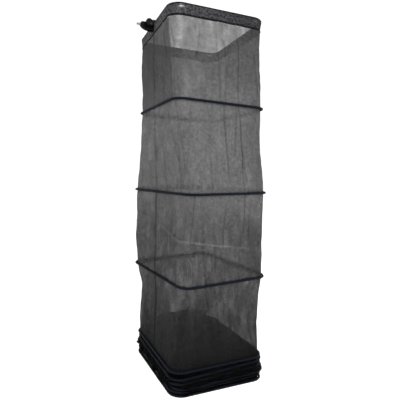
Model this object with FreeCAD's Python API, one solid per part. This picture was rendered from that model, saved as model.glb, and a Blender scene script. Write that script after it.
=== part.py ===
import FreeCAD, Part
import math
import os

# Angler's keepnet: a long rectangular tube of fine mesh, hung by its top frame from a
# threaded adapter and held open by spreader rings. Millimetres, +Z up. The shapes are
# laid out about the centre of the top frame, then moved so that the middle of the
# adapter's stud is the origin. The upper bays hang open; the lower rings lie in a pile.

V = FreeCAD.Vector
UP = V(0, 0, 1)
ALONG_Y = V(0, 1, 0)
OUTWARD = V(-1, 0, 0)

# Outline shared by the top frame, the spreader rings and the base ring, at the rod's centre
SIDE_X = 400.0
SIDE_Y = 490.0
CORNER_R = 52.0
ROD_R = 4.5
JOINER_R = 6.0
JOINER_LENGTH = 42.0
FIT_GAP = 0.15
RUNNING_GAP = 0.05

# Mesh walls
MESH = 0.6
MESH_INSET = 7.5
END_GAP = 0.6
BUNCH_WIDTH = 34.0

# Hem: mesh folded over the top frame and sewn together under it
HEM_MESH = 0.8
HEM_INNER_R = 5.2
HEM_DROP = 35.0
HEM_FOOT_HALF = 1.3
HEM_FOOT_HOLLOW = 0.45
HEM_FOOT_SEAM = 1.0
TAPE_TOP = 35.6
TAPE_BOTTOM = 43.0
TAPE_HALF = 2.0
HEM_WINDOW_HALF = 17.0
HEM_WINDOW_DROP = 31.5
HEM_WINDOW_REACH = 20.0

# The top frame hangs a little lower away from the adapter: its rise per millimetre along X
FRAME_LEAN = -0.032

# How each ring hangs under the one above: drop, turn in degrees, shift in X and Y of its
# centre from the top frame's, and its lean as the rise per millimetre along X and Y
HANGING = (
    (355.0, 2.5, -2.0, -10.0, -0.038, 0.010),
    (351.0, 13.0, -3.0, -13.0, -0.008, 0.015),
    (342.0, 9.0, -12.0, -17.0, -0.014, 0.022),
    (330.5, 3.0, -8.0, 6.0, -0.019, -0.007),
)
PILED = (
    (25.5, 3.0, -5.0, 10.0, 0.012, -0.016),
    (15.0, 3.0, -5.0, 10.0, 0.006, -0.008),
    (17.0, 3.0, 1.0, 6.0, -0.007, 0.010),
    (16.5, 3.0, -5.0, 10.0, -0.014, -0.010),
    (23.5, 3.0, -5.0, 10.0, -0.034, -0.030),
)
# How far the mesh draws in half way down each hanging bay
WAIST = (1.0, 9.0, 9.0, 20.0)

# Angle adapter on the middle of the -X side: pivot axis along Y, heights from the rod there
RIM_TURN = math.atan(-FRAME_LEAN)
RIM_X = -SIDE_X / 2 * math.cos(RIM_TURN)
RIM_Z = SIDE_X / 2 * math.sin(RIM_TURN)
PIVOT_X = RIM_X - 19.0
PIVOT_Z = RIM_Z - 8.0
PIVOT_R = 3.0
PIN_HEAD_R = 6.0
PIN_HEAD_THICK = 4.0
PIN_HEAD_ROUND = 0.8
PIN_BEYOND_LEVER = 3.0
NUT_R = 5.2
NUT_CAP = 0.6
SIDE_GAP = 0.3
BLOCK_OUTWARD = 9.0
BLOCK_INWARD = 6.5
BLOCK_HALF_Y = 14.5
BLOCK_BOTTOM = RIM_Z - 30.0
BLOCK_TOP = RIM_Z + 16.0
BLOCK_EDGE_R = 2.5
CHEEK_R = 19.0
CHEEK_INNER_Y = 9.5
HUB_R = 9.5
HUB_HALF_Y = 9.0
HUB_ROOM = 0.5
SPLIT_GAP = 0.1
RIB_PITCH = 6.0
RIB_DEPTH = 1.0
RIB_HEIGHT = 3.0

# Arm: a tilted oval leaf with a flat top, cut back to a wedge behind the hub
LEAF_TIP_X = PIVOT_X - 41.1
LEAF_CENTRE_Z = -3.0
LEAF_LONG = 30.0
LEAF_SHORT = 18.0
LEAF_TILT = 14.0
LEAF_TOP_Z = 12.0
LEAF_EDGE_R = 3.0
WEDGE_HALF_ANGLE = 60.0
WEDGE_LENGTH = 70.0
ARM_CUT_HALF = 20.0
TIP_FLAT = 0.6
LEAF_REACH = math.hypot(
    LEAF_LONG * math.cos(math.radians(LEAF_TILT)), LEAF_SHORT * math.sin(math.radians(LEAF_TILT))
)

LEVER_INNER_Y = -15.1
LEVER_OUTER_Y = -26.5
LEVER_HUB_R = 8.5
LEVER_LOBE_R = 14.5
LEVER_LOBE_X = PIVOT_X - 6.0
LEVER_LOBE_Z = PIVOT_Z + 9.4
LEVER_NOTCHES = 9
LEVER_NOTCH_R = 1.4
LEVER_NOTCH_START = -20.0
LEVER_NOTCH_SWEEP = 220.0
LEVER_RIM = 5.0
LEVER_DISH = 2.0

STUD_Z = 2.0
STUD_R = 4.7625
STUD_LENGTH = 13.0
STUD_ROOT_R = 3.9
STUD_ROOT_LENGTH = 15.0
STUD_ROOT_SPARE = 0.3
STUD_CHAMFER = 0.8
COLLAR_R = 6.4
COLLAR = 1.5

SCREW_R = 1.5
SCREW_HEAD_R = 2.9
SCREW_HEAD = 1.8
SCREW_SKIN = 2.0
SLOT_DEPTH = 0.8
SLOT_HALF = 0.4
SCREW_LEVELS = (RIM_Z - 20.0, RIM_Z + 10.5)

STUD_SHOULDER_X = LEAF_TIP_X - COLLAR
ORIGIN = V(STUD_SHOULDER_X - STUD_LENGTH / 2, 0, STUD_Z)

os.makedirs("parts", exist_ok=True)


def export(node, shape):
    shape.translate(-ORIGIN)
    shape.exportStep("parts/" + node + ".step")


def box(low, high):
    return Part.makeBox(high[0] - low[0], high[1] - low[1], high[2] - low[2], V(*low))


def drum(radius, start, length, direction):
    return Part.makeCylinder(radius, length, start, direction)


def y_drum(radius, x, z, y_low, y_high):
    return drum(radius, V(x, y_low, z), y_high - y_low, ALONG_Y)


def outline(out=0.0, height=0.0, place=None):
    """The rounded rectangle moved outward by out, at a height over the ring's own plane."""
    hx = SIDE_X / 2 + out
    hy = SIDE_Y / 2 + out
    r = CORNER_R + out
    diagonal = r * math.sqrt(0.5)
    edges = []
    corners = ((1, 1), (-1, 1), (-1, -1), (1, -1))
    ends = []
    for sx, sy in corners:
        centre = V(sx * (hx - r), sy * (hy - r), height)
        on_x = centre + V(sx * r, 0, 0)
        on_y = centre + V(0, sy * r, 0)
        mid = centre + V(sx * diagonal, sy * diagonal, 0)
        first, last = (on_x, on_y) if sx * sy > 0 else (on_y, on_x)
        ends.append((first, mid, last))
    for i, (first, mid, last) in enumerate(ends):
        edges.append(Part.Arc(first, mid, last).toShape())
        edges.append(Part.makeLine(last, ends[(i + 1) % 4][0]))
    wire = Part.Wire(edges)
    if place is not None:
        wire.Placement = place.multiply(wire.Placement)
    return wire


def ring_place(z, turn, shift_x, shift_y, lean_x, lean_y):
    spin = FreeCAD.Rotation(UP, turn)
    tip_x = FreeCAD.Rotation(V(0, 1, 0), -math.degrees(math.atan(lean_x)))
    tip_y = FreeCAD.Rotation(V(1, 0, 0), math.degrees(math.atan(lean_y)))
    return FreeCAD.Placement(V(shift_x, shift_y, z), spin.multiply(tip_x).multiply(tip_y))


def swept(profile, spine):
    return spine.makePipeShell([profile], True, True)


def rod_loop(radius, place):
    """A round rod bent along the outline."""
    spine = outline(0.0, 0.0)
    start = spine.Edges[1].Vertexes[0].Point
    heading = spine.Edges[1].tangentAt(spine.Edges[1].FirstParameter)
    circle = Part.Wire([Part.makeCircle(radius, start, heading)])
    loop_edges = spine.Edges[1:] + spine.Edges[:1]
    solid = swept(circle, Part.Wire(loop_edges))
    solid.Placement = place
    return solid


def joiner(number, place):
    """A short sleeve over the butted rod ends, on alternate sides of neighbouring rings."""
    if number % 2:
        start = V(SIDE_X / 2, -JOINER_LENGTH / 2, 0)
        along = ALONG_Y
    else:
        start = V(-JOINER_LENGTH / 2, SIDE_Y / 2, 0)
        along = V(1, 0, 0)
    sleeve = drum(JOINER_R, start, JOINER_LENGTH, along)
    sleeve = sleeve.cut(drum(ROD_R + FIT_GAP, start, JOINER_LENGTH, along))
    sleeve.Placement = place
    return sleeve


def mesh_wall(top, bottom, thickness):
    """A closed wall lofted between sections given as (place, height, out)."""
    outer = [outline(out, height, place) for place, height, out in (top, bottom)]
    inner = [outline(out - thickness, height, place) for place, height, out in (top, bottom)]
    return Part.makeLoft(outer, True, True).cut(Part.makeLoft(inner, True, True))


def waisted_wall(top, bottom, waist, thickness):
    """A mesh bay: two lofted walls that meet at a narrower waist half way down."""
    place_a, height_a, out_a = top
    place_b, height_b, out_b = bottom
    start = place_a.multVec(V(0, 0, height_a))
    end = place_b.multVec(V(0, 0, height_b))
    middle = (start + end) * 0.5
    turn = place_a.Rotation.slerp(place_b.Rotation, 0.5)
    half = FreeCAD.Placement(middle, turn)
    out_mid = (out_a + out_b) / 2 - waist
    stations = (top, (half, 0.0, out_mid), bottom)
    outer = [outline(out, height, place) for place, height, out in stations]
    inner = [outline(out - thickness, height, place) for place, height, out in stations]
    return Part.makeLoft(outer, True, True).cut(Part.makeLoft(inner, True, True))


FRAME_PLACE = ring_place(0.0, 0.0, 0.0, 0.0, FRAME_LEAN, 0.0)

# ---------------------------------------------------------------- top frame and hem
export("top_frame", rod_loop(ROD_R, FRAME_PLACE))


def hem_section(radius, drop, half_at_drop):
    """Teardrop about the frame's rod: round over the top, closing to the sewn line."""
    middle_x = SIDE_X / 2
    left = V(middle_x - radius, 0, 0)
    top = V(middle_x, 0, radius)
    right = V(middle_x + radius, 0, 0)
    low_right = V(middle_x + half_at_drop, 0, -drop)
    low_left = V(middle_x - half_at_drop, 0, -drop)
    return Part.Wire([
        Part.Arc(left, top, right).toShape(),
        Part.makeLine(right, low_right),
        Part.makeLine(low_right, low_left),
        Part.makeLine(low_left, left),
    ])


def loop_from_side():
    """The outline as a closed path that starts half way along the +X side."""
    edges = outline().Edges
    side = edges[-1]
    first = side.Vertexes[0].Point
    last = side.Vertexes[-1].Point
    middle = V(SIDE_X / 2, 0, 0)
    return Part.Wire([Part.makeLine(middle, last)] + edges[:-1] + [Part.makeLine(first, middle)])


hem_outer = hem_section(HEM_INNER_R + HEM_MESH, HEM_DROP, HEM_FOOT_HALF)
hem_inner = hem_section(HEM_INNER_R, HEM_DROP - HEM_FOOT_SEAM, HEM_FOOT_HOLLOW)
hem = swept(hem_outer, loop_from_side()).cut(swept(hem_inner, loop_from_side()))
window = box(
    (-SIDE_X / 2 - HEM_WINDOW_REACH, -HEM_WINDOW_HALF, -HEM_WINDOW_DROP),
    (-SIDE_X / 2 + HEM_WINDOW_REACH, HEM_WINDOW_HALF, HEM_INNER_R * 3),
)
hem = hem.cut(window)
hem.Placement = FRAME_PLACE
export("hem", hem)

tape = Part.makeLoft([outline(TAPE_HALF, -TAPE_BOTTOM), outline(TAPE_HALF, -TAPE_TOP)], True, True)
tape_void = Part.makeLoft(
    [outline(-TAPE_HALF, -TAPE_BOTTOM), outline(-TAPE_HALF, -TAPE_TOP)], True, True
)
tape = tape.cut(tape_void)
tape.Placement = FRAME_PLACE
export("hem_tape", tape)

# ---------------------------------------------------------------- rings, base and mesh bays
places = []
level_z = 0.0
for drop, turn, shift_x, shift_y, lean_x, lean_y in HANGING + PILED:
    level_z -= drop
    places.append(ring_place(level_z, turn, shift_x, shift_y, lean_x, lean_y))
RING_COUNT = len(places) - 1

for number, place in enumerate(places, 1):
    name = "base_ring" if number > RING_COUNT else "ring_%d" % number
    export(name, rod_loop(ROD_R, place))
    export(name + "_joiner", joiner(number, place))

tops = [(FRAME_PLACE, -TAPE_BOTTOM - END_GAP, MESH / 2)]
tops += [(place, -END_GAP, -MESH_INSET) for place in places[:-1]]
bottoms = [(place, END_GAP, -MESH_INSET) for place in places]
for number, (top, bottom) in enumerate(zip(tops, bottoms), 1):
    if number <= len(WAIST):
        bay = waisted_wall(top, bottom, WAIST[number - 1], MESH)
    else:
        bay = mesh_wall(top, bottom, BUNCH_WIDTH)
    export("mesh_bay_%d" % number, bay)

panel_wire = outline(-MESH_INSET, -END_GAP - MESH, places[-1])
panel = Part.Face(panel_wire).extrude(V(0, 0, MESH))
export("base_mesh", panel)

# ---------------------------------------------------------------- adapter bracket
ring_bore = y_drum(ROD_R + FIT_GAP, RIM_X, RIM_Z, -BLOCK_HALF_Y - 1, BLOCK_HALF_Y + 1)
block = box(
    (RIM_X - BLOCK_OUTWARD, -BLOCK_HALF_Y, BLOCK_BOTTOM),
    (RIM_X + BLOCK_INWARD, BLOCK_HALF_Y, BLOCK_TOP),
)
upright = [e for e in block.Edges if abs(e.tangentAt(e.FirstParameter).z) > 0.9]
block = block.makeFillet(BLOCK_EDGE_R, upright)
rib_level = BLOCK_BOTTOM + RIB_PITCH / 2
while rib_level + RIB_HEIGHT < BLOCK_TOP:
    groove = box(
        (RIM_X - BLOCK_OUTWARD - 1, -BLOCK_HALF_Y - 1, rib_level),
        (RIM_X + BLOCK_INWARD + 1, BLOCK_HALF_Y + 1, rib_level + RIB_PITCH - RIB_HEIGHT),
    )
    core = box(
        (RIM_X - BLOCK_OUTWARD + RIB_DEPTH, -BLOCK_HALF_Y + RIB_DEPTH, rib_level - 1),
        (RIM_X + BLOCK_INWARD - RIB_DEPTH, BLOCK_HALF_Y - RIB_DEPTH, rib_level + RIB_PITCH),
    )
    block = block.cut(groove.cut(core))
    rib_level += RIB_PITCH

# Two round cheeks carry the pivot; the arm's hub turns between them
cheeks = None
for y_low in (-BLOCK_HALF_Y, CHEEK_INNER_Y):
    y_high = y_low + BLOCK_HALF_Y - CHEEK_INNER_Y
    cheek = y_drum(CHEEK_R, PIVOT_X, PIVOT_Z, y_low, y_high)
    behind = box((PIVOT_X, y_low, PIVOT_Z - CHEEK_R), (RIM_X, y_high, PIVOT_Z + CHEEK_R))
    before = box((PIVOT_X - CHEEK_R, y_low, PIVOT_Z - CHEEK_R), (RIM_X, y_high, PIVOT_Z + CHEEK_R))
    cheek = cheek.common(before).fuse(behind)
    cheeks = cheek if cheeks is None else cheeks.fuse(cheek)
hub_room = y_drum(HUB_R + HUB_ROOM, PIVOT_X, PIVOT_Z, -CHEEK_INNER_Y, CHEEK_INNER_Y)
bracket = block.fuse(cheeks).cut(hub_room).cut(ring_bore)
pivot_bore = y_drum(PIVOT_R + RUNNING_GAP, PIVOT_X, PIVOT_Z, -BLOCK_HALF_Y - 1, BLOCK_HALF_Y + 1)
bracket = bracket.cut(pivot_bore).removeSplitter()

# The block is split along the rod: the outer half keeps the ears, the inner half is a cap
split = box(
    (RIM_X - SPLIT_GAP, -BLOCK_HALF_Y - 1, BLOCK_BOTTOM - 1),
    (RIM_X + BLOCK_INWARD + 1, BLOCK_HALF_Y + 1, BLOCK_TOP + 1),
)
cap = bracket.common(split)
cap.translate(V(SPLIT_GAP, 0, 0))
cap = cap.cut(ring_bore)
body = bracket.cut(split)

screw_tip = RIM_X - BLOCK_OUTWARD + SCREW_SKIN
screw_seat = RIM_X + BLOCK_INWARD - SCREW_HEAD
for letter, level in zip("ab", SCREW_LEVELS):
    shank_length = screw_seat - screw_tip
    head_room = RIM_X + BLOCK_INWARD + 1 - screw_seat
    hole = drum(SCREW_R + FIT_GAP, V(screw_tip, 0, level), shank_length + 1, V(1, 0, 0))
    seat = drum(SCREW_HEAD_R + FIT_GAP, V(screw_seat, 0, level), head_room, V(1, 0, 0))
    cap = cap.cut(hole).cut(seat)
    body = body.cut(hole)
    shank = drum(SCREW_R, V(screw_tip + FIT_GAP, 0, level), shank_length, V(1, 0, 0))
    head = drum(SCREW_HEAD_R, V(screw_seat + FIT_GAP, 0, level), SCREW_HEAD, V(1, 0, 0))
    slot = box(
        (screw_seat + SCREW_HEAD - SLOT_DEPTH, -SCREW_HEAD_R, level - SLOT_HALF),
        (screw_seat + SCREW_HEAD + 1, SCREW_HEAD_R, level + SLOT_HALF),
    )
    export("cap_screw_" + letter, shank.fuse(head).cut(slot).removeSplitter())
export("adapter_bracket", body)
export("adapter_cap", cap)

# ---------------------------------------------------------------- pivot pin and its nut
pin_low = LEVER_OUTER_Y - PIN_BEYOND_LEVER
pin_high = BLOCK_HALF_Y + SIDE_GAP
pin = y_drum(PIVOT_R, PIVOT_X, PIVOT_Z, pin_low, pin_high)
pin_head = y_drum(PIN_HEAD_R, PIVOT_X, PIVOT_Z, pin_high, pin_high + PIN_HEAD_THICK)
pin_head = pin_head.makeFillet(PIN_HEAD_ROUND, [pin_head.Edges[0], pin_head.Edges[2]])
export("pivot_pin", pin.fuse(pin_head).removeSplitter())
nut = y_drum(NUT_R, PIVOT_X, PIVOT_Z, pin_low - NUT_CAP, LEVER_OUTER_Y - SIDE_GAP)
nut = nut.cut(y_drum(PIVOT_R + FIT_GAP, PIVOT_X, PIVOT_Z, pin_low - 0.001, LEVER_OUTER_Y + 1))
export("pivot_nut", nut)

# ---------------------------------------------------------------- swivel arm and stud
leaf_edge = Part.Ellipse(V(0, 0, 0), LEAF_LONG, LEAF_SHORT).toShape()
leaf = Part.Face(Part.Wire([leaf_edge])).extrude(V(0, 0, 2 * HUB_HALF_Y))
leaf = leaf.makeFillet(LEAF_EDGE_R, [e for e in leaf.Edges if e.Length > 2 * LEAF_LONG])
leaf.rotate(V(0, 0, 0), V(1, 0, 0), 90)
leaf.rotate(V(0, 0, 0), ALONG_Y, LEAF_TILT)
leaf.translate(V(LEAF_TIP_X + LEAF_REACH, HUB_HALF_Y, LEAF_CENTRE_Z))
leaf = leaf.cut(box(
    (LEAF_TIP_X - ARM_CUT_HALF, -ARM_CUT_HALF, LEAF_TOP_Z),
    (PIVOT_X + LEAF_LONG, ARM_CUT_HALF, LEAF_TOP_Z + LEAF_LONG),
))
wedge_x = WEDGE_LENGTH * math.cos(math.radians(WEDGE_HALF_ANGLE))
wedge_z = WEDGE_LENGTH * math.sin(math.radians(WEDGE_HALF_ANGLE))
wedge_corners = [
    V(PIVOT_X, -ARM_CUT_HALF, PIVOT_Z),
    V(PIVOT_X - wedge_x, -ARM_CUT_HALF, PIVOT_Z + wedge_z),
    V(PIVOT_X - 2 * wedge_x, -ARM_CUT_HALF, PIVOT_Z),
    V(PIVOT_X - wedge_x, -ARM_CUT_HALF, PIVOT_Z - wedge_z),
    V(PIVOT_X, -ARM_CUT_HALF, PIVOT_Z),
]
wedge = Part.Face(Part.makePolygon(wedge_corners)).extrude(V(0, 2 * ARM_CUT_HALF, 0))
hub = y_drum(HUB_R, PIVOT_X, PIVOT_Z, -HUB_HALF_Y, HUB_HALF_Y)
arm = leaf.common(wedge).fuse(hub)
arm = arm.cut(y_drum(PIVOT_R + RUNNING_GAP, PIVOT_X, PIVOT_Z, -HUB_HALF_Y - 1, HUB_HALF_Y + 1))
inward = V(1, 0, 0)
socket_start = V(LEAF_TIP_X - 1, 0, STUD_Z)
socket_length = 1 + STUD_ROOT_LENGTH + STUD_ROOT_SPARE
arm = arm.cut(drum(STUD_ROOT_R + FIT_GAP, socket_start, socket_length, inward))
tip_flat = box(
    (LEAF_TIP_X - 1, -ARM_CUT_HALF, -ARM_CUT_HALF),
    (LEAF_TIP_X + TIP_FLAT, ARM_CUT_HALF, ARM_CUT_HALF),
)
arm = arm.cut(tip_flat).removeSplitter()
export("swivel_arm", arm)

stud = drum(STUD_R, V(STUD_SHOULDER_X, 0, STUD_Z), STUD_LENGTH, OUTWARD)
tip_edges = [e for e in stud.Edges if e.BoundBox.XMax < STUD_SHOULDER_X - STUD_LENGTH + 0.1]
stud = stud.makeChamfer(STUD_CHAMFER, tip_edges)
root = drum(STUD_ROOT_R, V(STUD_SHOULDER_X, 0, STUD_Z), STUD_ROOT_LENGTH, inward)
export("stud", stud.fuse(root).removeSplitter())
collar_start = V(STUD_SHOULDER_X + FIT_GAP, 0, STUD_Z)
collar = drum(COLLAR_R, collar_start, COLLAR, inward)
collar = collar.cut(drum(STUD_ROOT_R + FIT_GAP, collar_start, COLLAR, inward))
export("stud_collar", collar)

# ---------------------------------------------------------------- locking lever
lobe = y_drum(LEVER_LOBE_R, LEVER_LOBE_X, LEVER_LOBE_Z, LEVER_OUTER_Y, LEVER_INNER_Y)
lever_hub = y_drum(LEVER_HUB_R, PIVOT_X, PIVOT_Z, LEVER_OUTER_Y, LEVER_INNER_Y)
lever_reach = math.hypot(LEVER_LOBE_X - PIVOT_X, LEVER_LOBE_Z - PIVOT_Z)
lever_lean = math.degrees(math.atan2(LEVER_LOBE_X - PIVOT_X, LEVER_LOBE_Z - PIVOT_Z))
neck = box((-LEVER_HUB_R, LEVER_OUTER_Y, 0), (LEVER_HUB_R, LEVER_INNER_Y, lever_reach))
neck.rotate(V(0, 0, 0), ALONG_Y, lever_lean)
neck.translate(V(PIVOT_X, 0, PIVOT_Z))
lever = lobe.fuse(lever_hub).fuse(neck)
for step in range(LEVER_NOTCHES):
    angle = math.radians(LEVER_NOTCH_START + LEVER_NOTCH_SWEEP * step / (LEVER_NOTCHES - 1))
    lever = lever.cut(y_drum(
        LEVER_NOTCH_R,
        LEVER_LOBE_X + LEVER_LOBE_R * math.cos(angle),
        LEVER_LOBE_Z + LEVER_LOBE_R * math.sin(angle),
        LEVER_OUTER_Y - 1,
        LEVER_INNER_Y + 1,
    ))
dish_y = LEVER_OUTER_Y + LEVER_DISH
dish = y_drum(LEVER_LOBE_R - LEVER_RIM, LEVER_LOBE_X, LEVER_LOBE_Z, LEVER_OUTER_Y - 1, dish_y)
lever = lever.cut(dish)
lever = lever.cut(y_drum(
    PIVOT_R + RUNNING_GAP, PIVOT_X, PIVOT_Z, LEVER_OUTER_Y - 1, LEVER_INNER_Y + 1
))
export("lock_lever", lever.removeSplitter())
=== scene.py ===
"""A hanging angler's keepnet: mesh bays, spreader rings, hem, lashings and angle adapter."""
import bmesh
import bpy
import math
import numpy as np
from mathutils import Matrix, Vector


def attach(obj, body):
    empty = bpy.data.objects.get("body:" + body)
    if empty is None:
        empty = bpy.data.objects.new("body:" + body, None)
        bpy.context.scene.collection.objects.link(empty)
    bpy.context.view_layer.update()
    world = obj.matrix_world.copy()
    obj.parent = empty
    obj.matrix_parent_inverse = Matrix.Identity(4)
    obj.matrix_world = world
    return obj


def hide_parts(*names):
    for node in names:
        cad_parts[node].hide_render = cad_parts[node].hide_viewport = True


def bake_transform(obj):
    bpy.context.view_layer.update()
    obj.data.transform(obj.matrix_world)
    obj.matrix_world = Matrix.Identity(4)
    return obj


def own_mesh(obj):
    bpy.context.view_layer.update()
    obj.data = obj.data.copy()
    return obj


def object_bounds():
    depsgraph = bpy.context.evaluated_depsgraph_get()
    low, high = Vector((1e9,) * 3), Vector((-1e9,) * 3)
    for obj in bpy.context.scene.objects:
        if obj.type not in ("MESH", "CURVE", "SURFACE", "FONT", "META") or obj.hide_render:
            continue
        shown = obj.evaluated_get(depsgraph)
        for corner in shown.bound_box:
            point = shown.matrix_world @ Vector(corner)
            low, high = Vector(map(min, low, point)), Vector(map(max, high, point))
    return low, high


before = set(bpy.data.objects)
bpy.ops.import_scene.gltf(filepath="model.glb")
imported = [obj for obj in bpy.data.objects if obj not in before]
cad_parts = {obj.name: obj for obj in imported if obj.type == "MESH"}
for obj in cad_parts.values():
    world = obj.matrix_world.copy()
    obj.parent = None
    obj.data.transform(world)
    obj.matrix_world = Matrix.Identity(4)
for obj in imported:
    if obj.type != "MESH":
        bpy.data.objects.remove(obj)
cad_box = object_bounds()

# ------------------------------------------------------------------ sizes, metres
MM = 0.001
ORIGIN = np.array([-0.2680, 0.0, 0.002])
SIDE_X, SIDE_Y, CORNER_R, ROD_R = 0.400, 0.490, 0.052, 0.0045
HEM_BOTTOM = 0.0435
FRAME_LEAN = -0.032
MESH_OUT = -0.0056
MESH_GAP = 0.001
# every ring's drop (mm), turn (degrees), shifts x and y (mm), and leans x and y (slopes)
RINGS = (
    (355.0, 2.5, -2.0, -10.0, -0.038, 0.010),
    (351.0, 13.0, -3.0, -13.0, -0.008, 0.015),
    (342.0, 9.0, -12.0, -17.0, -0.014, 0.022),
    (330.5, 3.0, -8.0, 6.0, -0.019, -0.007),
    (25.5, 3.0, -5.0, 10.0, 0.012, -0.016),
    (15.0, 3.0, -5.0, 10.0, 0.006, -0.008),
    (17.0, 3.0, 1.0, 6.0, -0.007, 0.010),
    (16.5, 3.0, -5.0, 10.0, -0.014, -0.010),
    (23.5, 3.0, -5.0, 10.0, -0.034, -0.030),
)
BODIES = ["frame"] + ["spreader_%d" % i for i in range(1, 9)] + ["base"]
BAY_FULL = 0.350

# ------------------------------------------------------------------ camera
FOCAL_PX = 381.2
IMAGE_PX = 400.0
HORIZON_PX = 173.0
VIEW_TURN = math.radians(22.0)
cam_data = bpy.data.cameras.new("camera")
SENSOR_MM = 36.0
cam_data.sensor_width = SENSOR_MM
cam_data.lens = FOCAL_PX / IMAGE_PX * SENSOR_MM
cam_data.shift_y = (HORIZON_PX - IMAGE_PX / 2) / IMAGE_PX
camera = bpy.data.objects.new("camera", cam_data)
bpy.context.scene.collection.objects.link(camera)
right = np.array([math.cos(VIEW_TURN), -math.sin(VIEW_TURN), 0.0])
ahead = np.array([math.sin(VIEW_TURN), math.cos(VIEW_TURN), 0.0])
EYE_RIGHT, EYE_BACK, EYE_HEIGHT = 0.0123, 1.7066, -0.6276
eye = EYE_RIGHT * right - EYE_BACK * ahead + np.array([0.0, 0.0, EYE_HEIGHT]) - ORIGIN
camera.location = eye
camera.rotation_euler = (math.pi / 2, 0.0, -VIEW_TURN)
bpy.context.scene.camera = camera


# ------------------------------------------------------------------ outline and placing
def outline(s):
    """Rod-centre outline at share s of its length, from the middle of -X by -Y, +X, +Y."""
    a, b, r = SIDE_X / 2, SIDE_Y / 2, CORNER_R
    quarter = math.pi * r / 2
    across, along = 2 * (a - r), 2 * (b - r)
    runs = [b - r, quarter, across, quarter, along, quarter, across, quarter, b - r]
    starts = np.concatenate([[0.0], np.cumsum(runs)])
    d = (np.asarray(s, float) % 1.0) * starts[-1]
    k = np.clip(np.searchsorted(starts, d, side="right") - 1, 0, 8)
    t = d - starts[k]
    x, y, nx, ny = (np.zeros_like(d) for _ in range(4))
    straight = {
        0: ((-a, 0.0), (0, -1), (-1, 0)),
        2: ((-a + r, -b), (1, 0), (0, -1)),
        4: ((a, -b + r), (0, 1), (1, 0)),
        6: ((a - r, b), (-1, 0), (0, 1)),
        8: ((-a, b - r), (0, -1), (-1, 0)),
    }
    for i, (start, way, out) in straight.items():
        m = k == i
        x[m] = start[0] + way[0] * t[m]
        y[m] = start[1] + way[1] * t[m]
        nx[m], ny[m] = out
    bends = {
        1: ((-a + r, -b + r), math.pi),
        3: ((a - r, -b + r), -math.pi / 2),
        5: ((a - r, b - r), 0.0),
        7: ((-a + r, b - r), math.pi / 2),
    }
    for i, (centre, first) in bends.items():
        m = k == i
        turn = first + t[m] / r
        nx[m], ny[m] = np.cos(turn), np.sin(turn)
        x[m] = centre[0] + r * nx[m]
        y[m] = centre[1] + r * ny[m]
    return x, y, nx, ny


PERIMETER = 2 * (SIDE_X + SIDE_Y) - (8 - 2 * math.pi) * CORNER_R


def turned(deg, lean_x, lean_y):
    """The rotation of a ring that is turned by deg and leans by the two slopes."""
    t, a, b = math.radians(deg), -math.atan(lean_x), math.atan(lean_y)
    rz = np.array([[math.cos(t), -math.sin(t), 0], [math.sin(t), math.cos(t), 0], [0, 0, 1]])
    ry = np.array([[math.cos(a), 0, math.sin(a)], [0, 1, 0], [-math.sin(a), 0, math.cos(a)]])
    rx = np.array([[1, 0, 0], [0, math.cos(b), -math.sin(b)], [0, math.sin(b), math.cos(b)]])
    return rz @ ry @ rx


PLACES = [(turned(0.0, FRAME_LEAN, 0.0), -ORIGIN)]
level = 0.0
for drop, deg, sx, sy, lx, ly in RINGS:
    level -= drop * MM
    PLACES.append((turned(deg, lx, ly), np.array([sx * MM, sy * MM, level]) - ORIGIN))


def on_ring(k, s, out, height):
    """Points beside ring k (0 is the top frame) at share s, moved outward and up."""
    x, y, nx, ny = outline(s)
    out = np.broadcast_to(out, x.shape)
    height = np.broadcast_to(height, x.shape)
    rot, at = PLACES[k]
    return np.stack([x + nx * out, y + ny * out, height], -1) @ rot.T + at


def ground_under(points):
    """The height of the base ring's underside plane at each point."""
    rot, at = PLACES[9]
    away = (points[..., 0] - at[0]) * rot[0, 2] + (points[..., 1] - at[1]) * rot[1, 2]
    return at[2] - away / rot[2, 2] - ROD_R + 0.001


def waves(s, cycles, seed, v=None, drift=1.5):
    """A smooth random wave round the net, periodic in s, with phases that drift down v."""
    r = np.random.RandomState(seed)
    total = np.zeros(np.broadcast(s, 0.0 if v is None else v).shape)
    weight = 0.0
    for c in cycles:
        amp = r.uniform(0.5, 1.0)
        phase = r.uniform(0, 2 * math.pi)
        lean = r.uniform(-drift, drift)
        total = total + amp * np.sin(2 * math.pi * c * s + phase + (0.0 if v is None else lean * v))
        weight += amp * amp
    return total / math.sqrt(weight / 2) / 1.6


def cloud(s, v, across, down, seed, lean=0.0):
    """Smooth random patches, periodic round the net, that many across and down a bay."""
    grid = np.random.RandomState(seed).uniform(-1, 1, (down + 2, across))
    a, b = np.broadcast_arrays(((s + lean * v) % 1.0) * across, np.clip(v, 0, 1) * down)
    i, j = a.astype(int) % across, b.astype(int)
    fa, fb = a - np.floor(a), b - j
    fa, fb = fa * fa * (3 - 2 * fa), fb * fb * (3 - 2 * fb)
    k = (i + 1) % across
    upper = grid[j, i] * (1 - fa) + grid[j, k] * fa
    lower = grid[j + 1, i] * (1 - fa) + grid[j + 1, k] * fa
    return upper * (1 - fb) + lower * fb


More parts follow.
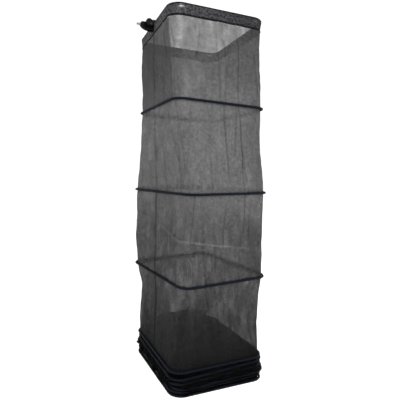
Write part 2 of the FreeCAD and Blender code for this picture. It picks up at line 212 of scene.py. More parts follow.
# ------------------------------------------------------------------ mesh building
def grid_object(name, points, uv, dense=None, tone=None, slots=(), from_v=0.0):
    """points is rows x columns x 3, and the columns close into a loop."""
    rows, cols = points.shape[:2]
    index = np.arange(rows * cols).reshape(rows, cols)
    across = np.roll(index, -1, 1)
    quads = np.stack([index[:-1], across[:-1], across[1:], index[1:]], -1).reshape(-1, 4)
    data = bpy.data.meshes.new(name)
    data.from_pydata(points.reshape(-1, 3).tolist(), [], quads.tolist())
    u0, v0 = uv
    layer = data.uv_layers.new(name="cloth")
    j, i = np.meshgrid(np.arange(cols), np.arange(rows - 1))
    us = np.stack([j, j + 1, j + 1, j], -1) / cols * u0
    vs = from_v + np.stack([i, i, i + 1, i + 1], -1) / (rows - 1) * v0
    layer.data.foreach_set("uv", np.stack([us, vs], -1).reshape(-1).astype(np.float32))
    for label, values in (("dense", dense), ("tone", tone)):
        if values is not None:
            values = np.broadcast_to(values, (rows, cols))
            attr = data.attributes.new(label, "FLOAT", "POINT")
            attr.data.foreach_set("value", np.asarray(values, np.float32).reshape(-1))
    data.polygons.foreach_set("use_smooth", [True] * len(data.polygons))
    for m in slots:
        data.materials.append(m)
    obj = bpy.data.objects.new(name, data)
    bpy.context.scene.collection.objects.link(obj)
    return obj


def tubes_object(name, paths, radius, sides, material):
    """Thin round threads along open paths, as one mesh."""
    verts, faces = [], []
    for path in paths:
        path = np.asarray(path, float)
        way = np.gradient(path, axis=0)
        way /= np.linalg.norm(way, axis=1)[:, None] + 1e-12
        ref = np.array([0.31, 0.23, 0.92])
        one = np.cross(way, ref)
        one /= np.linalg.norm(one, axis=1)[:, None] + 1e-12
        two = np.cross(way, one)
        turn = np.linspace(0, 2 * math.pi, sides, endpoint=False)
        ring = (
            path[:, None]
            + radius * np.cos(turn)[None, :, None] * one[:, None]
            + radius * np.sin(turn)[None, :, None] * two[:, None]
        )
        base = len(verts)
        verts.extend(ring.reshape(-1, 3).tolist())
        n = len(path)
        for i in range(n - 1):
            for j in range(sides):
                k = (j + 1) % sides
                faces.append([
                    base + i * sides + j, base + i * sides + k,
                    base + (i + 1) * sides + k, base + (i + 1) * sides + j,
                ])
        faces.append([base + j for j in reversed(range(sides))])
        faces.append([base + (n - 1) * sides + j for j in range(sides)])
    data = bpy.data.meshes.new(name)
    data.from_pydata(verts, [], faces)
    data.polygons.foreach_set("use_smooth", [True] * len(data.polygons))
    data.materials.append(material)
    obj = bpy.data.objects.new(name, data)
    bpy.context.scene.collection.objects.link(obj)
    return obj


# ------------------------------------------------------------------ materials
def node_material(name):
    """A new material with an empty tree, a Principled shader and its output."""
    m = bpy.data.materials.new(name)
    m.use_nodes = True
    tree = m.node_tree
    tree.nodes.clear()
    out = tree.nodes.new("ShaderNodeOutputMaterial")
    shader = tree.nodes.new("ShaderNodeBsdfPrincipled")
    tree.links.new(shader.outputs[0], out.inputs[0])
    return m, tree, shader


def math_node(tree, kind, a, b=None, c=None):
    n = tree.nodes.new("ShaderNodeMath")
    n.operation = kind
    for i, x in enumerate((a, b, c)):
        if x is None:
            continue
        if isinstance(x, (int, float)):
            n.inputs[i].default_value = x
        else:
            tree.links.new(x, n.inputs[i])
    return n.outputs[0]


def noise(tree, vector, scale, detail=3.0):
    n = tree.nodes.new("ShaderNodeTexNoise")
    n.inputs["Scale"].default_value = scale
    n.inputs["Detail"].default_value = detail
    tree.links.new(vector, n.inputs["Vector"])
    return n.outputs["Fac"]


def ramp(tree, fac, stops):
    n = tree.nodes.new("ShaderNodeValToRGB")
    el = n.color_ramp.elements
    while len(el) < len(stops):
        el.new(0.5)
    for e, (pos, col) in zip(el, stops):
        e.position = pos
        e.color = (*col, 1.0)
    tree.links.new(fac, n.inputs[0])
    return n.outputs[0]


def net_material(
    name, fibre, cover, contrast, mottle=(0.75, 1.25), mottle_scale=90.0, tint=1.0, uneven=1.0
):
    """Knitted mesh of crossing yarns with open holes. 'dense' closes it, 'tone' lights it."""
    m, tree, shader = node_material(name)
    uv = tree.nodes.new("ShaderNodeUVMap")
    uv.uv_map = "cloth"
    split = tree.nodes.new("ShaderNodeSeparateXYZ")
    tree.links.new(uv.outputs[0], split.inputs[0])
    u, v = split.outputs[0], split.outputs[1]
    # diagonal yarns give diamond-shaped holes
    turn = 2 * math.pi / MESH_PITCH
    more = math_node(tree, "ADD", u, v)
    a = math_node(tree, "SINE", math_node(tree, "MULTIPLY", more, turn))
    less = math_node(tree, "SUBTRACT", u, v)
    b = math_node(tree, "SINE", math_node(tree, "MULTIPLY", less, turn))
    yarn = math_node(tree, "MAXIMUM", a, b)
    objc = tree.nodes.new("ShaderNodeTexCoord").outputs["Object"]
    # slack patches, streaks that run down the cloth, and the knit's beat in some patches
    patch = math_node(tree, "MULTIPLY_ADD", noise(tree, objc, 14.0, 5.0), 0.26, -0.13)
    speck = math_node(tree, "MULTIPLY_ADD", noise(tree, objc, 230.0, 1.0), 0.14, -0.07)
    tall = tree.nodes.new("ShaderNodeMapping")
    tall.inputs["Scale"].default_value = (1.0, 0.22, 1.0)
    tall.inputs["Rotation"].default_value = (0.0, 0.0, 0.12)
    tree.links.new(uv.outputs[0], tall.inputs["Vector"])
    streak = math_node(tree, "MULTIPLY_ADD", noise(tree, tall.outputs[0], 30.0, 1.0), 0.34, -0.17)
    ripple = math_node(tree, "MULTIPLY", noise(tree, objc, 7.0, 0.0), 190.0)
    where = math_node(tree, "SUBTRACT", noise(tree, objc, 4.5, 0.0), 0.48)
    where = math_node(tree, "MAXIMUM", math_node(tree, "MULTIPLY", where, 0.20), 0.0)
    beat_part = math_node(tree, "MULTIPLY", math_node(tree, "SINE", ripple), where)
    solid = math_node(tree, "MULTIPLY_ADD", yarn, contrast, cover)
    for part in (patch, speck, streak, beat_part):
        solid = math_node(tree, "MULTIPLY_ADD", part, uneven, solid)
    dense = tree.nodes.new("ShaderNodeAttribute")
    dense.attribute_name = "dense"
    gap = math_node(tree, "SUBTRACT", 1.0, dense.outputs["Fac"])
    clear = math_node(tree, "MULTIPLY", math_node(tree, "SUBTRACT", 1.0, solid), gap)
    alpha = math_node(tree, "SUBTRACT", 1.0, clear)
    n = tree.nodes.new("ShaderNodeClamp")
    tree.links.new(alpha, n.inputs[0])
    tree.links.new(n.outputs[0], shader.inputs["Alpha"])
    dark, light = ((fibre * k, fibre * k, fibre * k * tint) for k in mottle)
    colour = ramp(tree, noise(tree, objc, mottle_scale, 4.0), [(0.3, dark), (0.7, light)])
    tone = tree.nodes.new("ShaderNodeAttribute")
    tone.attribute_name = "tone"
    lit = tree.nodes.new("ShaderNodeVectorMath")
    lit.operation = "SCALE"
    tree.links.new(colour, lit.inputs[0])
    tree.links.new(tone.outputs["Fac"], lit.inputs["Scale"])
    tree.links.new(lit.outputs[0], shader.inputs["Base Color"])
    shader.inputs["Roughness"].default_value = 0.85
    shader.inputs["Specular IOR Level"].default_value = 0.06
    bump = tree.nodes.new("ShaderNodeBump")
    bump.inputs["Strength"].default_value = 0.35
    bump.inputs["Distance"].default_value = 0.0006
    tree.links.new(yarn, bump.inputs["Height"])
    tree.links.new(bump.outputs[0], shader.inputs["Normal"])
    return m


def solid_material(
    name, colour, rough, spread=0.3, scale=40.0, bump_m=0.0002, metal=0.0, spec=0.5, weave=0.0
):
    """Moulded, coated or woven solid: mottled colour, uneven roughness and fine relief."""
    m, tree, shader = node_material(name)
    objc = tree.nodes.new("ShaderNodeTexCoord").outputs["Object"]
    big = noise(tree, objc, scale, 4.0)
    dark = tuple(c * (1 - spread) for c in colour)
    light = tuple(c * (1 + spread) for c in colour)
    tree.links.new(ramp(tree, big, [(0.3, dark), (0.7, light)]), shader.inputs["Base Color"])
    wear = math_node(tree, "MULTIPLY_ADD", noise(tree, objc, scale * 3.0, 2.0), 0.2, rough - 0.1)
    tree.links.new(wear, shader.inputs["Roughness"])
    shader.inputs["Metallic"].default_value = metal
    shader.inputs["Specular IOR Level"].default_value = spec
    fine = noise(tree, objc, scale * 22.0, 2.0)
    height = fine
    if weave:
        wave = tree.nodes.new("ShaderNodeTexWave")
        wave.wave_type = "BANDS"
        wave.bands_direction = "DIAGONAL"
        wave.inputs["Scale"].default_value = weave
        wave.inputs["Distortion"].default_value = 1.0
        tree.links.new(objc, wave.inputs["Vector"])
        height = math_node(tree, "MULTIPLY_ADD", wave.outputs["Fac"], 1.5, fine)
    bump = tree.nodes.new("ShaderNodeBump")
    bump.inputs["Strength"].default_value = 0.5
    bump.inputs["Distance"].default_value = bump_m
    tree.links.new(height, bump.inputs["Height"])
    tree.links.new(bump.outputs[0], shader.inputs["Normal"])
    return m


MESH_PITCH = 0.0032
NET = net_material("net_mesh", 0.084, 0.765, 0.14)
# the pile's mesh and its fold are a near-black copy of the net: painted shade for the inside of the
# pile
SHADED_PILE_NET = net_material("net_mesh_pile_shaded", 0.0045, 0.88, 0.08, uneven=0.4)
HEM_NET = net_material("hem_mesh", 0.044, 0.86, 0.10, (0.12, 2.2), 120.0, 1.06)
# the base cloth is near black and closed: painted shade for the inside of the pile
SHADED_BASE_NET = net_material("base_cloth", 0.005, 1.06, 0.02, uneven=0.3)
NAVY = solid_material(
    "ring_sleeve", (0.0032, 0.0050, 0.0098), 0.65, 0.2, 60.0, 0.0001, spec=0.08, weave=900.0
)
FRAME_STEEL = solid_material(
    "frame_steel", (0.70, 0.70, 0.71), 0.30, 0.1, 30.0, 0.00005, metal=0.9
)
JOINER = solid_material("joiner_plastic", (0.008, 0.008, 0.010), 0.5, spec=0.2)
PLASTIC = solid_material(
    "adapter_plastic", (0.0024, 0.0024, 0.0026), 0.5, 0.3, 50.0, 0.00015, spec=0.09
)
BLACK_STEEL = solid_material(
    "black_steel", (0.012, 0.012, 0.013), 0.45, 0.2, 60.0, 0.00005, metal=0.6, spec=0.3
)
STEEL = solid_material("steel", (0.42, 0.42, 0.43), 0.32, 0.12, 80.0, 0.00005, metal=1.0)
TAPE = solid_material(
    "tape_weave", (0.0065, 0.0065, 0.0075), 0.9, 0.35, 80.0, 0.0003, spec=0.1, weave=600.0
)
THREAD = solid_material("thread", (0.009, 0.010, 0.014), 0.8, 0.3, 200.0, 0.0001, spec=0.1)
FLOOR = solid_material("floor_paint", (0.55, 0.55, 0.55), 0.9, 0.01, 2.0, 0.0001, spec=0.0)


# ------------------------------------------------------------------ hanging mesh bays
COLS = 640
s_cols = np.arange(COLS) / COLS


def ends(top, bottom, top_out, top_h, s):
    """The upper edge of the mesh between two rings, and its lower edge on the lower ring."""
    return on_ring(top, s, top_out, top_h), on_ring(bottom, s, MESH_OUT, MESH_GAP)


def outward(top, bottom, s):
    """The level direction out of the net at share s, between two rings."""
    _, _, nx, ny = outline(s)
    flat = np.stack([nx, ny, np.zeros_like(nx)], -1)
    both = flat @ PLACES[top][0].T + flat @ PLACES[bottom][0].T
    both[..., 2] = 0.0
    return both / np.linalg.norm(both, axis=-1)[..., None]


def bump_at(s, centre, width):
    """A smooth bump round share centre, width being a share of the outline too."""
    d = (s - centre + 0.5) % 1.0 - 0.5
    return np.exp(-((d / width) ** 2))


# the sewn seam that runs down the -X side
SEAM_AT = (-0.0005, -0.0137, -0.0130, -0.0070, -0.0040)
SEAM_HALF = 0.0085
SEAM_PROUD = 0.005
SEAM_STRENGTH = {1: 0.26, 2: 0.45, 3: 0.62, 4: 0.80}
# painted light and shade by height: the mesh is painted lightest in the upper bays, a little darker
# at the mouth and much darker down to the pile: height in the net (m) against tone
LIGHT_SHADE_HEIGHTS = (-1.37, -1.20, -1.05, -0.88, -0.71, -0.36, -0.22, 0.0)
LIGHT_SHADE_BY_HEIGHT = (0.10, 0.27, 0.49, 0.58, 1.24, 1.25, 0.86, 0.60)
# the -X side that carries the adapter gets painted shade in its tone and extra cover there, per
# hanging bay
SIDE_PAINTED_SHADE = {1: 0.70, 2: 0.90, 3: 0.80, 4: 1.00}
SIDE_DENSE = {1: 0.80, 2: 0.05, 3: 0.12, 4: 0.70}
# the four corners, where the mesh is drawn tight and doubled, and painted darker with painted shade
CORNERS = (0.137, 0.366, 0.640, 0.876)
CORNER_HALF = 0.0075
CORNER_STRENGTH = 0.60
NEAR_CORNER_SHARE = 0.18
# how far each hanging bay draws in half way down
WAISTS = (0.001, 0.002, -0.001, 0.009)
# Creases that run down a bay: share round the net at the top and at the foot, where down the
# bay it starts and ends, half width and height in mm, and how far it closes the mesh and darkens it
# with painted shade
CREASES = {
    1: (
        (0.130, 0.131, 0.10, 1.00, 3.0, 3.0, 0.22),
        (0.293, 0.292, 0.15, 1.00, 2.6, 2.5, 0.30),
        (0.240, 0.243, 0.20, 0.95, 3.4, 2.0, 0.20),
        (0.262, 0.258, 0.25, 1.00, 3.4, -2.0, 0.16),
    ),
    2: (
        (0.085, 0.120, 0.02, 1.00, 2.6, 3.0, 0.18),
        (0.130, 0.132, 0.00, 0.75, 3.2, 2.5, 0.15),
        (0.292, 0.290, 0.00, 0.95, 2.8, 2.5, 0.30),
        (0.255, 0.245, 0.00, 0.80, 3.4, -2.5, 0.24),
    ),
    3: (
        (0.145, 0.140, 0.00, 0.60, 3.0, 2.5, 0.26),
        (0.235, 0.225, 0.10, 0.70, 3.2, 2.5, 0.22),
        (0.300, 0.310, 0.20, 0.90, 3.2, -2.0, 0.22),
    ),
    4: (
        (0.150, 0.140, 0.20, 0.90, 4.0, 3.0, 0.25),
        (0.215, 0.235, 0.10, 0.80, 4.0, 3.0, 0.20),
        (0.310, 0.305, 0.00, 0.80, 4.0, 3.0, 0.20),
    ),
}
LOOSE_CREASES = 21
# how strongly each hanging bay's patches vary
PATCHINESS = {1: 0.9, 2: 1.35, 3: 1.1, 4: 1.1}
# rows of a hanging bay, and of each edge strip that keeps to its own ring
BAY_ROWS = 84
EDGE_ROWS = 4


def span(v, start, end):
    """1 between start and end down the bay, fading over a tenth of the bay at each."""
    rise = np.clip((v - start) / 0.1 + 0.5, 0, 1)
    fall = np.clip((end - v) / 0.1 + 0.5, 0, 1)
    return rise * rise * (3 - 2 * rise) * fall * fall * (3 - 2 * fall)


def ridge_at(s, centre, half_width):
    """A smooth ridge along share centre, half_width in metres along the outline."""
    away = ((s - centre + 0.5) % 1.0 - 0.5) * PERIMETER
    return np.exp(-((away / half_width) ** 2))


def hanging_bay(number):
    """The open mesh between two hanging rings, in a middle part and its edge strips."""
    top, bottom = number - 1, number
    v = np.linspace(0, 1, BAY_ROWS)[:, None]
    s = s_cols[None, :]
    top_h = -HEM_BOTTOM if top == 0 else -MESH_GAP
    top_out = 0.0 if top == 0 else MESH_OUT
    a, b = ends(top, bottom, top_out, top_h, s_cols)
    points = a[None] * (1 - v[..., None]) + b[None] * v[..., None]
    n = outward(top, bottom, s_cols)[None]
    seed = 100 * number
    belly = np.sin(math.pi * v) ** 0.8
    push = -WAISTS[number - 1] * belly
    push = push + 0.0045 * belly * waves(s, (3, 5, 7, 8), seed + 1, v, 2.0)
    push = push + 0.0040 * belly * cloud(s, v, 26, 3, seed + 2, 0.05)
    push = push + 0.0022 * belly * cloud(s, v, 60, 8, seed + 11, -0.09)
    # gathers that start at the rings, in some places only, and fade into the bay
    fade = np.exp(-v / 0.14) * (1 - np.exp(-v / 0.012))
    fade = fade + np.exp(-(1 - v) / 0.17) * (1 - np.exp(-(1 - v) / 0.012))
    some = np.clip(waves(s, (4, 7, 9), seed + 7), 0, None)
    push = push + 0.0016 * fade * some * waves(s, (31, 43, 58, 71), seed + 3, v, 4.0)
    # slack and tight patches of the mesh
    dense = 0.20 * cloud(s, v, 12, 2, seed + 8, 0.06)
    dense = dense + 0.24 * cloud(s, v, 34, 4, seed + 9, -0.05)
    dense = dense + 0.16 * cloud(s, v, 80, 9, seed + 10, 0.08)
    dense = dense + 0.24 * cloud(s, v, 150, 26, seed + 12, -0.05)
    dense = dense * PATCHINESS[number]
    from_seam = np.abs((s + 0.5) % 1.0 - 0.5)
    side = np.clip(1.6 - from_seam / 0.085, 0, 1)
    if number == 1:
        side = np.clip((0.128 - from_seam) / 0.010, 0, 1)
        dense = dense - 0.05 * np.clip(1.6 - v / 0.3, 0, 1)
    if number == 4:
        side = np.clip((0.058 + 0.062 * v - from_seam) / 0.014, 0, 1)
    # painted light and shade by height
    tone = np.interp(points[..., 2] + ORIGIN[2], LIGHT_SHADE_HEIGHTS, LIGHT_SHADE_BY_HEIGHT)
    # painted shade on the -X side
    tone = tone * (1 - (1 - SIDE_PAINTED_SHADE[number]) * side)
    dense = dense * (1 - 0.7 * side * (number == 1)) + SIDE_DENSE[number] * side
    seam_s = SEAM_AT[top] * (1 - v) + SEAM_AT[bottom] * v
    seam = ridge_at(s, seam_s + 0.0008 * np.sin(9.0 * v + number), SEAM_HALF)
    # creases, each closing the mesh and darkened with painted shade: the drawn ones, then a few
    # loose ones
    r = np.random.RandomState(seed + 5)
    creases = list(CREASES[number])
    for _ in range(LOOSE_CREASES):
        at, begin = r.uniform(0, 1), r.uniform(-0.2, 0.7)
        creases.append((
            at, at + r.uniform(-0.035, 0.035), begin, begin + r.uniform(0.3, 0.8),
            r.uniform(2.5, 5.0), r.uniform(-4.0, 4.0), r.uniform(0.05, 0.22),
        ))
    for from_s, to_s, begin, end, half, height_mm, closes in creases:
        centre = from_s + (to_s - from_s) * v + 0.0016 * np.sin(7.0 * v + 40.0 * from_s)
        ridge = ridge_at(s, centre, half * MM) * span(v, begin, end)
        push = push + height_mm * MM * ridge * belly
        dense = dense + 1.3 * closes * ridge
        # painted shade along the crease
        tone = tone * (1 - 1.7 * closes * ridge)
    if number == 3:
        # a taut line runs round the bay, where the mesh is opened and painted lighter (painted
        # highlight), with painted shade just under it
        round_s = (s + 0.5) % 1.0 - 0.5
        line_v = 0.39 + 0.85 * round_s + 0.040 * ridge_at(s, 0.085, 0.07)
        front = np.clip(1.4 - np.abs((s - 0.16 + 0.5) % 1.0 - 0.5) / 0.14, 0, 1)
        taut = np.exp(-(((v - line_v) / 0.010) ** 2)) * front
        under = np.exp(-(((v - line_v + 0.022) / 0.009) ** 2))
        under = under * np.clip(front - round_s * 6, 0, 1)
        push = push + 0.0030 * taut
        dense = dense - 0.20 * taut + 0.45 * under
        tone = tone * (1 + 1.3 * taut) * (1 - 0.5 * under)
    push = push + SEAM_PROUD * belly * seam
    if number == 4:
        # the lowest hanging bay is pinched above the pile on the adapter's side
        push = push - 0.010 * np.exp(-(((v - 0.30) / 0.16) ** 2)) * ridge_at(s, 0.88, 0.14)
        push = push + 0.006 * np.exp(-(((v - 0.75) / 0.2) ** 2)) * ridge_at(s, 0.88, 0.14)
    points = points + n * push[..., None]
    # the mesh also sways a little along the wall and sags between lashings
    points[..., 2] += 0.0015 * belly * waves(s, (9, 14, 19), seed + 6, v, 3.0)
    height = RINGS[number - 1][0] * MM - (HEM_BOTTOM if top == 0 else 0.0)
    # the edges laced to a ring are closed and dark, more so on the +X and +Y sides
    far = np.clip((0.27 - np.abs(s - 0.62)) / 0.03, 0, 1)
    edge = (0.006 + 0.010 * far) / height
    top_rim = np.clip(1 - v / edge, 0, 1) ** 0.5 * (number > 1)
    rim = np.maximum(top_rim, np.clip(1 - (1 - v) / edge, 0, 1) ** 0.5)
    # the corner between -Y and +X is shaded
    right_side = np.clip(1.5 - np.abs(s - 0.365) / 0.05, 0, 1)
    tone = tone * (1 - 0.28 * right_side)
    drawn = 0.0
    for c in CORNERS:
        share = NEAR_CORNER_SHARE if c == CORNERS[0] else 1.0
        drawn = drawn + share * ridge_at(s, c + 0.0010 * np.sin(6.0 * v + 9.0 * c), CORNER_HALF)
    dense = dense + CORNER_STRENGTH * drawn
    # painted shade in the corners
    tone = tone * (1 - 0.75 * CORNER_STRENGTH * drawn)
    dense = np.clip(dense + 0.85 * rim + SEAM_STRENGTH[number] * seam, -0.3, 1)
    tone = tone * (1 - (0.55 + 0.40 * far) * rim)
    tone = np.clip(tone * (1 - 0.8 * SEAM_STRENGTH[number] * seam), 0.05, 1.3)
    # the edges are strips that keep to their own rings
    dense = np.broadcast_to(dense, points.shape[:2])
    tone = np.broadcast_to(tone, points.shape[:2])
    step = height / (BAY_ROWS - 1)
    first = 0 if number == 1 else EDGE_ROWS
    last = BAY_ROWS - 1 - EDGE_ROWS
    parts = [("", first, last, top), ("_foot", last, BAY_ROWS - 1, bottom)]
    if first:
        parts.append(("_head", 0, first, top))
    made = []
    for suffix, start, stop, holder in parts:
        rows_in = slice(start, stop + 1)
        flat = (PERIMETER, (stop - start) * step)
        obj = grid_object(
            "net_bay_%d%s" % (number, suffix), points[rows_in], flat,
            dense[rows_in], tone[rows_in], (NET,), start * step,
        )
        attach(obj, BODIES[holder])
        made.append((obj, flat, suffix))
    return made, height


for number in range(1, 5):
    parts, height = hanging_bay(number)
    bay = parts[0][0]
    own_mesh(bay)
    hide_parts("mesh_bay_%d" % number)

# ------------------------------------------------------------------ bunched mesh bays
# folds in and out, depth of the folds, and how far the outer turns stand out
BUNCH = {
    5: (2.5, 0.066, 0.011),
    6: (3.0, 0.054, 0.018),
    7: (3.0, 0.056, 0.020),
    8: (3.0, 0.054, 0.016),
    9: (3.0, 0.056, 0.012),
}
ROWS_A_FOLD = 22


def bunched_bay(number):
    """The mesh between two piled rings, folded in and out."""
    folds, depth, stand = BUNCH[number]
    top, bottom = number - 1, number
    rows = int(folds * ROWS_A_FOLD) + 1
    v = np.linspace(0, 1, rows)[:, None]
    s = s_cols[None, :]
    a, b = ends(top, bottom, MESH_OUT, -MESH_GAP, s_cols)
    seed = 100 * number
    whole = round(folds)
    swing = 0.5 - 0.5 * np.cos(2 * math.pi * whole * v)
    outer = np.sin(math.pi * v) ** 0.5 * (1 - swing)
    layer = np.floor(v * whole - 1e-9)
    reach = depth * (1 + 0.22 * waves(s + 0.13 * layer, (3, 5, 8, 11), seed + 1))
    reach = reach + 0.006 * waves(s + 0.07 * layer, (17, 23, 31), seed + 2)
    push = -reach * swing
    # the cloth stands out between the corners, where it is slack
    _, _, nx, ny = outline(s_cols)
    slack = 0.45 + 0.75 * np.clip((np.maximum(np.abs(nx), np.abs(ny)) - 0.85) / 0.15, 0, 1)
    billow = 0.75 + 0.32 * waves(s + 0.31 * layer, (7, 12, 19), seed + 3)
    push = push + stand * outer * slack[None] * billow
    points = a[None] * (1 - v[..., None]) + b[None] * v[..., None]
    n = outward(top, bottom, s_cols)[None]
    points = points + n * push[..., None]
    rise = 0.0035 * waves(s + 0.21 * layer, (5, 9, 14, 21), seed + 4)
    rise = rise + 0.0020 * waves(s, (33, 47, 61), seed + 5, v, 6.0)
    points[..., 2] += rise * swing
    # nothing may sink below the base ring
    points[..., 2] = np.maximum(points[..., 2], ground_under(points))
    edge = np.clip(1 - v * 40, 0, 1) + np.clip(1 - (1 - v) * 40, 0, 1)
    dense = np.broadcast_to(0.8 * edge, points.shape[:2])
    obj = grid_object(
        "net_bunch_%d" % number, points, (PERIMETER, BAY_FULL), dense, 1.0, (SHADED_PILE_NET,)
    )
    # the unit normal of the two rings' mean plane, which nothing below uses
    square = PLACES[top][0][:, 2] + PLACES[bottom][0][:, 2]
    square = square / np.linalg.norm(square)
    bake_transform(obj)
    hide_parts("mesh_bay_%d" % number)


for number in range(5, 10):
    bunched_bay(number)


# the fold's two peaks: height, share round the net and width; then its reach and what stays
FOLD_PEAKS = ((0.074, 0.79, 0.065), (0.064, 0.69, 0.060))
FOLD_REACH = 0.050
FOLD_ROWS = 34


def loose_fold():
    """The slack of the mesh that stands up in a fold inside the topmost ring of the pile."""
    v = np.linspace(0, 1, FOLD_ROWS)[:, None]
    s = s_cols[None, :]
    heap = 0.004
    for peak, centre, width in FOLD_PEAKS:
        heap = heap + peak * bump_at(s, centre, width)
    arch = np.sin(math.pi * v) ** 0.8
    inward = 0.009 + (FOLD_REACH + 0.010 * waves(s, (5, 9, 13), 811)) * arch
    height = -0.004 + (heap + 0.003 * waves(s, (9, 16, 23), 812)) * arch
    fold = on_ring(4, np.broadcast_to(s, inward.shape), -inward, height)
    obj = grid_object("net_fold", fold, (PERIMETER, 2 * FOLD_REACH), 0.0, 1.0, (SHADED_PILE_NET,))
    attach(obj, "spreader_4")
    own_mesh(obj)


loose_fold()

# ------------------------------------------------------------------ base panel
RADIAL = 60
share = np.linspace(0.0, 1.0, RADIAL)[:, None]
rim = on_ring(9, s_cols, MESH_OUT, 0.0)
middle = PLACES[9][1]
panel = middle[None, None] * (1 - share[..., None]) + rim[None] * share[..., None]
ridge = waves(s_cols[None], (3, 7, 11), 901, share, 6.0) * 0.5
ridge = ridge + waves(s_cols[None], (19, 26), 902, share, 9.0) * 0.25
bowl = np.sin(math.pi * share) * share
PANEL_RISE = 0.010
panel[..., 2] += PANEL_RISE * (bowl * (ridge + 0.9))
panel[..., 2] = np.maximum(panel[..., 2], ground_under(panel))
PANEL_WEAVE = 0.3
base_cloth = grid_object(
    "base_cloth", panel, (PERIMETER, PANEL_WEAVE), 0.0, 1.0, (SHADED_BASE_NET,)
)
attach(base_cloth, "base")
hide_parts("base_mesh")

# ------------------------------------------------------------------ hem and its tape
# the section runs up the inside, over the rod and down the outside
HEM_ROWS = 40
HEM_R = 0.0053
HEM_UNDER_TAPE = 0.004
straight = HEM_BOTTOM - HEM_UNDER_TAPE
arc = math.pi * HEM_R
total = 2 * straight + arc
d = np.linspace(0, 1, HEM_ROWS) * total
hem_n = np.where(d < straight, -HEM_R * (d / straight) ** 0.8, 0.0)
hem_z = np.where(d < straight, -straight + d, 0.0)
over = (d >= straight) & (d <= straight + arc)
ang = (d - straight) / HEM_R
hem_n = np.where(over, -HEM_R * np.cos(ang), hem_n)
hem_z = np.where(over, HEM_R * np.sin(ang), hem_z)
down = d > straight + arc
back = total - d
hem_n = np.where(down, HEM_R * (np.clip(back, 0, None) / straight) ** 0.8, hem_n)
hem_z = np.where(down, -straight + back, hem_z)
s = s_cols[None, :]
side = np.sign(hem_n)[:, None]
loose = np.clip(-hem_z / straight, 0, 1)[:, None]
wrinkle = 0.0013 * loose * waves(s + 0.2 * (side > 0), (9, 16, 27, 38), 701)
wrinkle = wrinkle * np.sin(math.pi * loose) + 0.0006 * loose * waves(s, (5, 8, 12), 702)
out = hem_n[:, None] + wrinkle
drape = hem_z[:, None] + 0.0005 * loose * waves(s, (7, 13), 703)
around = np.broadcast_to(s, out.shape)
hem_pts = on_ring(0, around, out, drape)
# over the corners of the rod the mesh is cut open so the rod and the backdrop show through: these
# openings stand in for glints on the rod (painted highlights)
GLINT_OPENINGS_AT, GLINT_OPENING_HALF = (0.158, 0.348, 0.652, 0.842), 0.012
glint_spots = sum(ridge_at(s, c, GLINT_OPENING_HALF) for c in GLINT_OPENINGS_AT)
glint_openings = np.clip(1.5 - np.abs(hem_z[:, None] + 0.0090) / 0.0035, 0, 1) * glint_spots
# the hem is painted darker along its top edge over the rod (crown), and painted shade darkens its
# far side (far_side), which is also closed a little
crown = np.clip((hem_z[:, None] + 0.0035) / 0.003, 0, 1)
far_side = np.clip(1.6 - np.abs(s - 0.5) / 0.22, 0, 1)
hem_dense = 0.35 * (hem_z[:, None] > -0.004) + 0.30 * far_side + 0.8 * crown - 8.0 * glint_openings
hem_tone = (1.0 - 0.55 * far_side) * (1.0 - 0.85 * crown)
hem = grid_object("hem_cloth", hem_pts, (PERIMETER, total), hem_dense, hem_tone, (HEM_NET,))
# window at the adapter: drop the cells round the bracket
WINDOW_HALF, WINDOW_DROP = 0.0165, -0.0312
RIM_RISE = -FRAME_LEAN * SIDE_X / 2
bm = bmesh.new()
bm.from_mesh(hem.data)
gone = []
for f in bm.faces:
    c = f.calc_center_median() + Vector(ORIGIN)
    if c.x < -SIDE_X / 2 + 0.02 and abs(c.y) < WINDOW_HALF and c.z > WINDOW_DROP + RIM_RISE:
        gone.append(f)
bmesh.ops.delete(bm, geom=gone, context="FACES")
bm.to_mesh(hem.data)
bm.free()
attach(hem, "frame")
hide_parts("hem")

TAPE_ROWS = 9
TAPE_TOP, TAPE_DEPTH, TAPE_HALF_THICK = -0.0350, 0.0088, 0.0016
tv = np.linspace(0, 1, TAPE_ROWS)[:, None]
tape_h = TAPE_TOP - TAPE_DEPTH * tv + 0.0006 * waves(s, (6, 11, 17), 711)
section = TAPE_HALF_THICK * np.sin(math.pi * tv) ** 0.5
wob = 0.0006 * waves(s, (9, 14, 23), 712)
loop_out = np.concatenate([section + wob, (-section + wob)[::-1]], 0)
loop_h = np.concatenate([tape_h, tape_h[::-1]], 0)
tape_pts = on_ring(0, np.broadcast_to(s, loop_out.shape), loop_out, loop_h)
tape = grid_object("hem_binding", tape_pts, (PERIMETER, 0.018), slots=(TAPE,))
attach(tape, "frame")
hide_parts("hem_tape")

# zig-zag stitching along the tape
stitches = []
N_STITCH = 300
STITCH_AT, STITCH_HALF, STITCH_R = -0.0393, 0.0009, 0.00035
THREAD_SIDES = 5
for k in range(N_STITCH):
    s0 = (k + 0.15) / N_STITCH
    ss = s0 + np.linspace(0, 0.7 / N_STITCH, 4)
    lift = 0.0022 + 0.0002 * np.sin(np.linspace(0, math.pi, 4))
    zig = STITCH_HALF if k % 2 else -STITCH_HALF
    hh = STITCH_AT + zig * np.linspace(-1, 1, 4)
    stitches.append(on_ring(0, ss, lift, hh))
stitch = tubes_object("hem_stitching", stitches, STITCH_R, THREAD_SIDES, THREAD)
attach(stitch, "frame")

# ------------------------------------------------------------------ lashings on the rings
N_LASH = 76
LASH_R = 0.0004


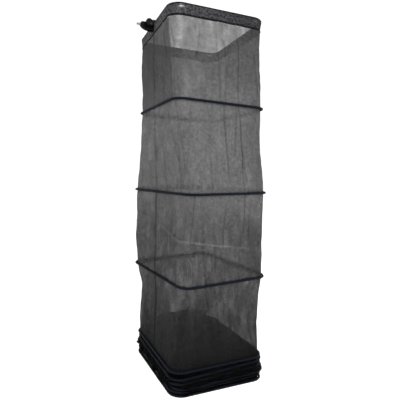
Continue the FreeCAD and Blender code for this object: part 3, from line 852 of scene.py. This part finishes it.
def lashing(k):
    """Thread loops round the rod that catch the edges of the mesh above and below."""
    paths = []
    turn = np.linspace(0, 2 * math.pi, 13)
    r = np.random.RandomState(500 + k)
    for i in range(N_LASH):
        s0 = (i + 0.5 + r.uniform(-0.08, 0.08)) / N_LASH
        skew = r.uniform(-0.0012, 0.0012)
        radius = ROD_R + 0.0005 + 0.0012 * np.clip(-np.cos(turn), 0, 1) ** 2
        ss = s0 + (skew * np.sin(turn)) / PERIMETER
        paths.append(np.array([
            on_ring(k, np.array([q]), rr * math.cos(tt), rr * math.sin(tt))[0]
            for q, rr, tt in zip(ss, radius, turn)
        ]))
    name = "ring_%d_lashing" % k if k < 9 else "base_ring_lashing"
    obj = tubes_object(name, paths, LASH_R, THREAD_SIDES, THREAD)
    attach(obj, BODIES[k])


for k in range(1, 10):
    lashing(k)

# ------------------------------------------------------------------ stud with its thread
STUD_R, STUD_LEN, PITCH = 0.0047625, 0.013, 0.00127
sides, along = 40, 150
tx = np.linspace(0, 1, along)[:, None]
th = np.arange(sides)[None] / sides
axial = STUD_LEN / 2 - STUD_LEN * tx
groove = np.abs(((axial / PITCH - th) % 1.0) * 2 - 1)
THREAD_DEPTH = 0.00075
depth = THREAD_DEPTH * (1 - np.clip(groove * 1.3, 0, 1))
taper = np.clip((STUD_LEN - STUD_LEN * tx) / 0.0009, 0, 1) ** 0.7
radius = (STUD_R - depth) * (0.80 + 0.20 * taper)
pts = np.stack([
    np.broadcast_to(axial, radius.shape),
    radius * np.cos(2 * math.pi * th), radius * np.sin(2 * math.pi * th),
], -1)
# both ends close almost to a point
CLOSED = 0.02
cap = pts[-1:].copy()
cap[..., 1:] *= CLOSED
root = pts[:1].copy()
root[..., 1:] *= CLOSED
pts = np.concatenate([root, pts, cap], 0)
stud = grid_object("stud_threaded", pts, (0.03, STUD_LEN), slots=(STEEL,))
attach(stud, "adapter_arm")
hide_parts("stud")

# ------------------------------------------------------------------ carried-over CAD nodes
CAD_LOOKS = {
    "top_frame": FRAME_STEEL, "adapter_bracket": PLASTIC, "adapter_cap": PLASTIC,
    "swivel_arm": PLASTIC, "lock_lever": PLASTIC, "cap_screw_a": STEEL, "cap_screw_b": STEEL,
    "pivot_pin": BLACK_STEEL, "pivot_nut": BLACK_STEEL, "stud_collar": STEEL,
}
for i in range(1, 9):
    CAD_LOOKS["ring_%d" % i] = NAVY
    CAD_LOOKS["ring_%d_joiner" % i] = JOINER
CAD_LOOKS["base_ring"] = NAVY
CAD_LOOKS["base_ring_joiner"] = JOINER
for node, look in CAD_LOOKS.items():
    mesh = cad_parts[node].data
    mesh.materials.clear()
    mesh.materials.append(look)

# ------------------------------------------------------------------ floor and light
# the net hangs, so the floor lies under the reach of its fully let-down bays
FLOOR_MARGIN = 0.05
LET_DOWN = sum(BAY_FULL - row[0] * MM for row in RINGS[4:]) + FLOOR_MARGIN
bpy.ops.mesh.primitive_plane_add(size=60.0, location=(0.27, 0.0, cad_box[0].z - LET_DOWN))
floor = bpy.context.object
floor.name = "floor"
glow = FLOOR.node_tree.nodes["Principled BSDF"].inputs
glow["Emission Color"].default_value = (1, 1, 1, 1)
glow["Emission Strength"].default_value = 0.6
floor.data.materials.append(FLOOR)

world = bpy.data.worlds.new("studio")
world.use_nodes = True
world.node_tree.nodes["Background"].inputs[0].default_value = (1.0, 1.0, 1.0, 1.0)
world.node_tree.nodes["Background"].inputs[1].default_value = 1.1
bpy.context.scene.world = world


def area_light(name, place, aim, size, power):
    """A square soft light at place that points at aim."""
    data = bpy.data.lights.new(name, "AREA")
    data.shape = "SQUARE"
    data.size = size
    data.energy = power
    obj = bpy.data.objects.new(name, data)
    obj.location = place
    obj.rotation_euler = (Vector(aim) - Vector(place)).to_track_quat("-Z", "Y").to_euler()
    bpy.context.scene.collection.objects.link(obj)


area_light("key", (1.3, -2.1, 1.4), (0.27, 0, -0.4), 1.2, 40.0)
area_light("fill", (-1.8, -1.6, 0.8), (0.27, 0, -0.7), 1.6, 10.0)
bpy.context.scene.view_settings.view_transform = "Standard"
